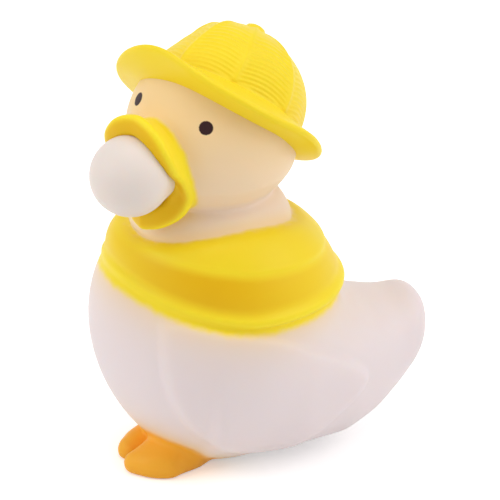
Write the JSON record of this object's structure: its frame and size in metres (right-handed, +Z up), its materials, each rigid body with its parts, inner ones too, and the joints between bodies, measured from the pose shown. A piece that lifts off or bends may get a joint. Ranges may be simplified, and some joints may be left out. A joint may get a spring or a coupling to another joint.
{
  "type": "duck stress ball",
  "caption": "Soft rubber squeeze duck in a ribbed hat and cape, sitting on its flat underside, with a blown-up bladder standing in its open beak.",
  "frame": {"origin": "centre of the flat underside that the duck rests on", "axes": "+Z up, -Y towards the chest, +Y towards the tail, +X to the duck's left"},
  "size_m": [0.0572, 0.0811, 0.0996],
  "materials": {
    "soft_rubber": "soft satin, with sprayed yellow on hat, cape and beak, and orange on the feet",
    "bladder_rubber": "smooth satin white"
  },
  "bodies": {
    "root": {"duck_body": "soft_rubber", "bubble": "bladder_rubber"}
  },
  "joints": []
}
